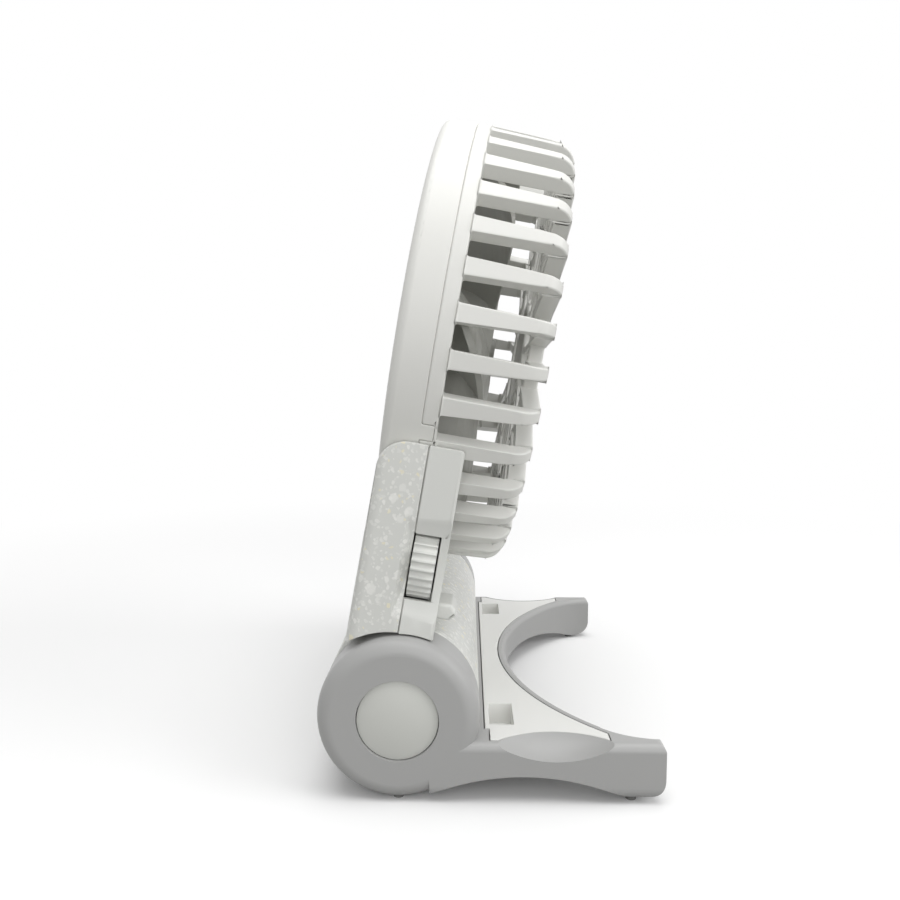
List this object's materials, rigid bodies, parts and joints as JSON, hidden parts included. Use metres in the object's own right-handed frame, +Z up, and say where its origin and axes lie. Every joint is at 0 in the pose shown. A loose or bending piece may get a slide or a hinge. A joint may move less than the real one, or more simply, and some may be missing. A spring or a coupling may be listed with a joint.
{
  "type": "folding handheld fan",
  "caption": "Handheld fan with a ribbed round grille over a swept impeller, a flat handle on a barrel hinge and a forked base that folds against it.",
  "frame": {"origin": "on the table under the middle of the bounding box", "axes": "+Z up, +X the way the air blows and the base's legs point, Y along the hinge"},
  "size_m": [0.0662, 0.1014, 0.1386],
  "materials": {
    "grey_shell": "fine satin",
    "white_shell": "satin",
    "speckled_shell": "satin with pale flakes in it",
    "steel": "plain",
    "acetal": "smooth",
    "rubber": "matt",
    "cell_sleeve": "shrunk film",
    "brass": "plain",
    "board": "solder mask",
    "black_plastic": "moulded",
    "copper": null,
    "lead_red": "soft sleeve",
    "magnet": "ground ferrite"
  },
  "bodies": {
    "base": {"base_yoke": "grey_shell", "base_plate": "white_shell", "base_plate_screws": "steel", "knuckle_caps": "white_shell", "hinge_bushes": "acetal", "rubber_feet": "rubber"},
    "head": {"handle_back_cover": "speckled_shell", "handle_front_cover": "white_shell", "handle_screws": "steel", "latch_hooks": "white_shell", "barrel_end_plugs": "white_shell", "hinge_pins": "steel", "friction_washers": "steel", "hinge_screws": "steel", "battery_cell": "cell_sleeve", "battery_contacts": "brass", "control_board": "board", "speed_control": "black_plastic", "charging_board": "board", "usb_socket": "steel", "head_back_shell": "white_shell", "front_grille": "white_shell", "grille_hub_cap": "white_shell", "motor_base": "steel", "motor_stator": "steel", "motor_coils": "copper", "motor_bearings": "steel", "motor_screws": "steel", "motor_leads": "lead_red"},
    "impeller": {"impeller": "grey_shell", "rotor_can": "steel", "rotor_magnet": "magnet", "motor_shaft": "steel"},
    "dial": {"thumbwheel": "white_shell", "thumbwheel_shaft": "steel"}
  },
  "joints": [
    {"name": "head_fold", "type": "hinge", "parent": "base", "child": "head", "pos_m": [-0.0175, 0, 0.016], "axis": [0, 1, 0], "range_deg": [-100, 80]},
    {"name": "impeller_spin", "type": "hinge", "parent": "head", "child": "impeller", "pos_m": [-0.00527, 0, 0.08756], "axis": [0.9857, 0, -0.1685], "continuous": true},
    {"name": "dial_turn", "type": "hinge", "parent": "head", "child": "dial", "pos_m": [-0.01265, -0.0414, 0.04439], "axis": [0.9857, 0, -0.1685], "range_deg": [0, 270]}
  ]
}
